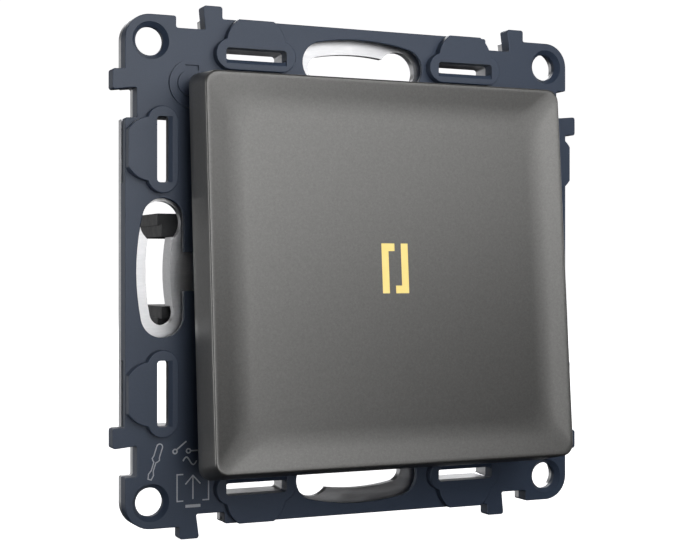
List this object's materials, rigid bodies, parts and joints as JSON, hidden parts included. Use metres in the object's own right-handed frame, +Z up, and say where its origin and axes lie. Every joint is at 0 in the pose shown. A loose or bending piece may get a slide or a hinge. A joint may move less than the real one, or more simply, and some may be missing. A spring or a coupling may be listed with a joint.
{
  "type": "rocker light switch",
  "caption": "Flush rocker light switch with a lit indicator, on a square steel and plastic mounting frame with corner holes, keyholes, clip slots and interlocking ears.",
  "frame": {"origin": "centre of the square of corner holes, in the wall plane, which is the back of the steel plate", "axes": "+Y into the wall, the rocker faces -Y, +X to the right as seen from the front, +Z up"},
  "size_m": [0.0746, 0.0423, 0.0746],
  "materials": {
    "galvanised_steel": "satin, galvanised",
    "navy_plastic": "fine matte",
    "black_plastic": "matte",
    "black_cover": "matte",
    "black_carrier": "matte",
    "screw_steel": "zinc plated",
    "tinned_brass": "tinned",
    "silver_contact": "silver",
    "spring_steel": "bright",
    "grey_lever": "satin",
    "lamp_shell": "satin",
    "led_epoxy": "clear warm",
    "circuit_board": "solder mask",
    "resistor_body": "lacquer",
    "metallic_grey_plastic": "metallic paint, satin",
    "glowing_guide": "translucent, lit warm yellow",
    "white_nylon": "satin",
    "copper_lever": "bright"
  },
  "bodies": {
    "switch_body": {"mounting_plate": "galvanised_steel", "cover_frame": "navy_plastic", "switch_housing": "black_plastic", "rear_cover": "black_cover", "carrier": "black_carrier", "carrier_screws": "screw_steel", "upper_terminal": "tinned_brass", "lower_terminal": "tinned_brass", "common_terminal": "tinned_brass", "lamp_terminal": "tinned_brass", "fixed_contact_tips": "silver_contact", "clamp_springs_upper": "spring_steel", "clamp_springs_lower": "spring_steel", "lamp_housing": "lamp_shell", "lamp_led": "led_epoxy", "lamp_board": "circuit_board", "lamp_resistor": "resistor_body", "lamp_contacts": "spring_steel"},
    "rocker": {"rocker_button": "metallic_grey_plastic", "light_guide": "glowing_guide", "rocker_frame": "black_carrier", "toggle_spring": "spring_steel"},
    "plunger": {"toggle_plunger": "white_nylon"},
    "contact_lever": {"contact_lever": "copper_lever", "moving_contact_tips": "silver_contact"},
    "release_upper": {"release_lever_upper": "grey_lever"},
    "release_lower": {"release_lever_lower": "grey_lever"}
  },
  "joints": [
    {"name": "rocker_tilt", "type": "hinge", "parent": "switch_body", "child": "rocker", "pos_m": [0, -0.0093, 0], "axis": [1, 0, 0], "range_deg": [0, 9.2]},
    {"name": "contact_swing", "type": "hinge", "parent": "switch_body", "child": "contact_lever", "pos_m": [-0.009, 0.0046, 0], "axis": [1, 0, 0], "range_deg": [-14, 0]},
    {"name": "plunger_stroke", "type": "slide", "parent": "rocker", "child": "plunger", "axis": [0, -0.9968, 0.0802], "range_m": [0, 0.0006], "stiffness_N_per_m": 800, "springref_m": -0.001, "deforming": ["toggle_spring"]},
    {"name": "release_upper_press", "type": "slide", "parent": "switch_body", "child": "release_upper", "axis": [0, -1, 0], "range_m": [0, 0.0015], "stiffness_N_per_m": 1500, "springref_m": -0.0005, "deforming": ["clamp_springs_upper"]},
    {"name": "release_lower_press", "type": "slide", "parent": "switch_body", "child": "release_lower", "axis": [0, -1, 0], "range_m": [0, 0.0015], "stiffness_N_per_m": 1500, "springref_m": -0.0005, "deforming": ["clamp_springs_lower"]}
  ],
  "couplings": [
    {"joint": "contact_swing", "follows": "rocker_tilt", "ratio": -1.5217}
  ]
}
